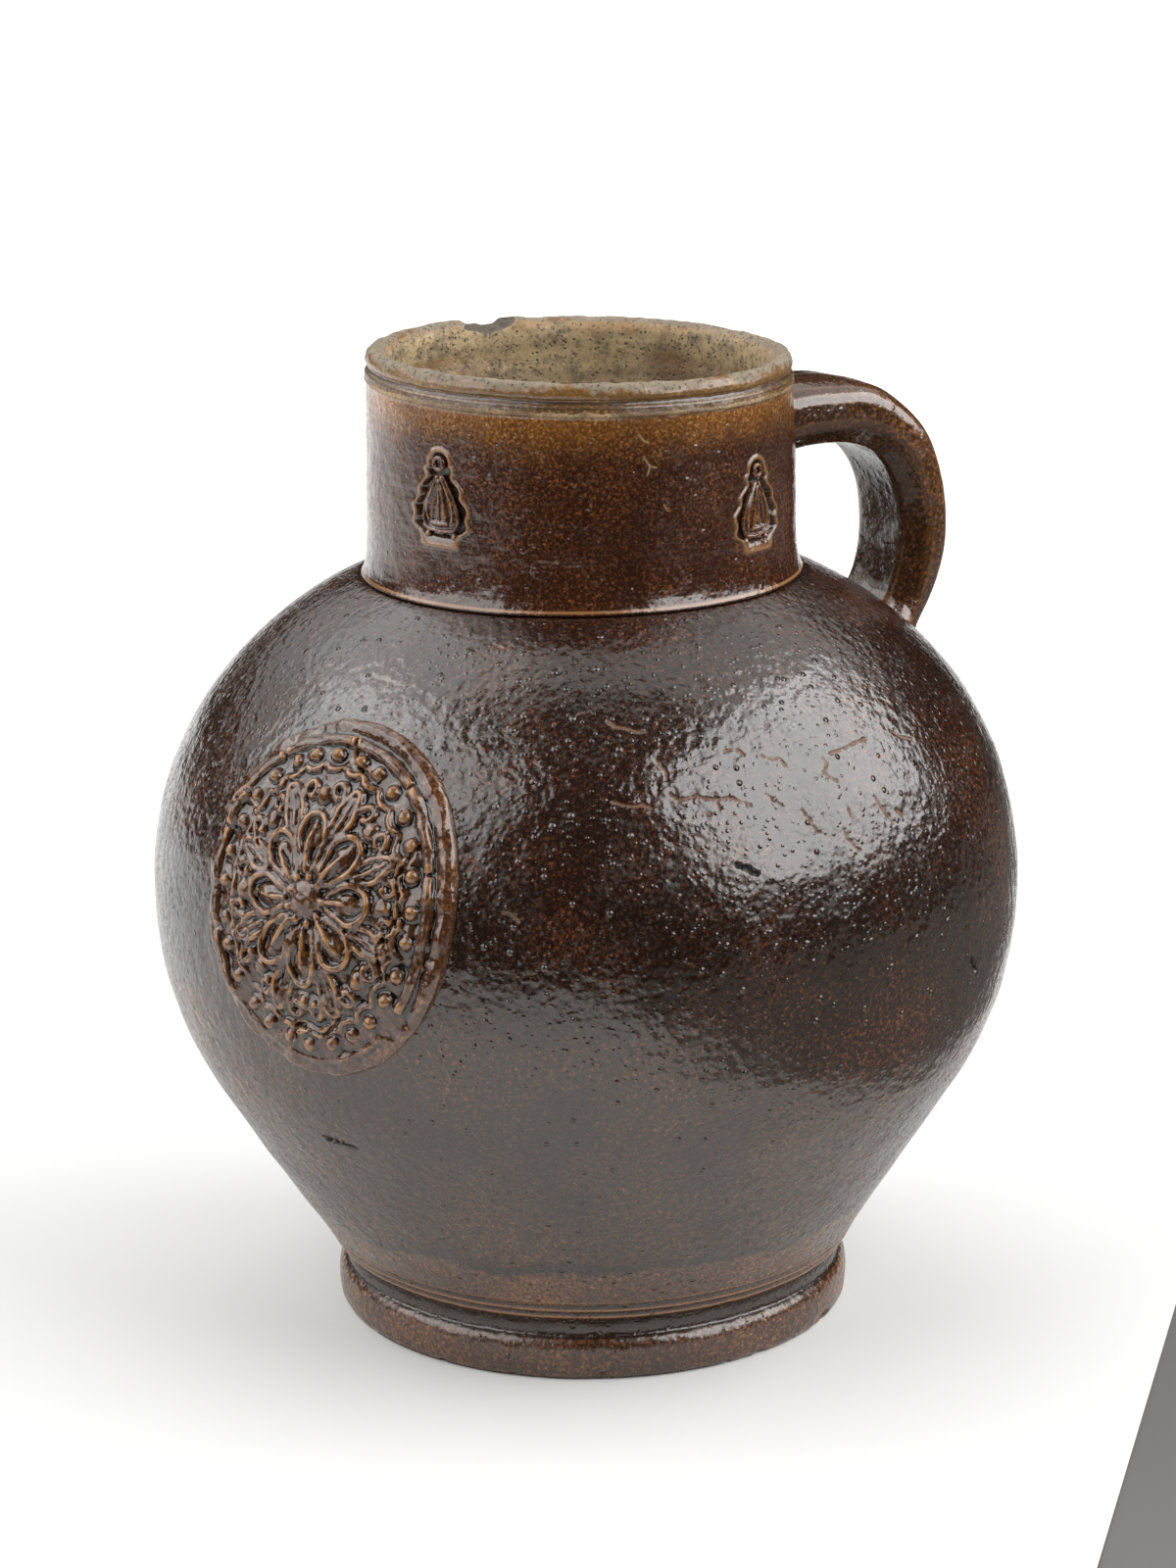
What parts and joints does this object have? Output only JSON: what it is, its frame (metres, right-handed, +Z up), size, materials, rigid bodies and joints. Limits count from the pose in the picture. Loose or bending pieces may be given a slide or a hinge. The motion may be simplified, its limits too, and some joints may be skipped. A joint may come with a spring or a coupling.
{
  "type": "ceramic jug",
  "caption": "Globular brown salt-glazed stoneware jug with a cylindrical neck, a strap handle, an oval relief medallion and a turned foot, for storing and pouring drink.",
  "frame": {"origin": "centre of the flat underside of the foot, on the upright axis that the jug was thrown on", "axes": "+Z up along the axis, towards the mouth; +X towards the handle, whose middle plane is Y = 0"},
  "size_m": [0.2063, 0.2046, 0.23],
  "materials": {
    "belly_stoneware": "salt glaze, satin to glossy, mottled dark purplish brown",
    "neck_stoneware": "salt glaze, golden brown at the lip to dark red-brown below, beige bare clay inside",
    "handle_stoneware": "salt glaze, glossy brown with a fine pitted surface",
    "sprig_stoneware": "salt glaze, thin and tan on the raised edges, dark in the hollows",
    "stamp_stoneware": "salt glaze, thin and tan on the raised ribs"
  },
  "bodies": {
    "root": {"belly": "belly_stoneware", "neck": "neck_stoneware", "handle": "handle_stoneware", "upper_luting": "handle_stoneware", "lower_luting": "handle_stoneware", "medallion": "sprig_stoneware", "neck_stamp_left": "stamp_stoneware", "neck_stamp_right": "stamp_stoneware", "neck_stamp_back": "stamp_stoneware"}
  },
  "joints": []
}
